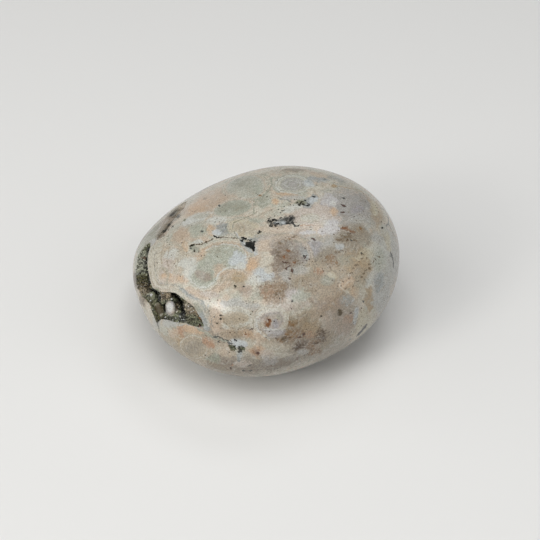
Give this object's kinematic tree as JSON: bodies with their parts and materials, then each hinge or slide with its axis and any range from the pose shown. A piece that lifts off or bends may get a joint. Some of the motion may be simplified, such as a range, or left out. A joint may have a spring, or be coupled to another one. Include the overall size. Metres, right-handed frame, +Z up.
{
  "type": "tumbled stone",
  "caption": "Palm-sized tumbled ocean jasper pebble with pale orbs, cream and taupe mottling, and a crystal-lined cleft round one end.",
  "frame": {"origin": "centre of the bounding box's bottom face, in the plane the stone rests on", "axes": "+Z up from the resting spot, +X along the stone's length away from the cleft"},
  "size_m": [0.066, 0.0594, 0.0382],
  "materials": {
    "polished_jasper": "polished"
  },
  "bodies": {
    "root": {"jasper_stone": "polished_jasper"}
  },
  "joints": []
}
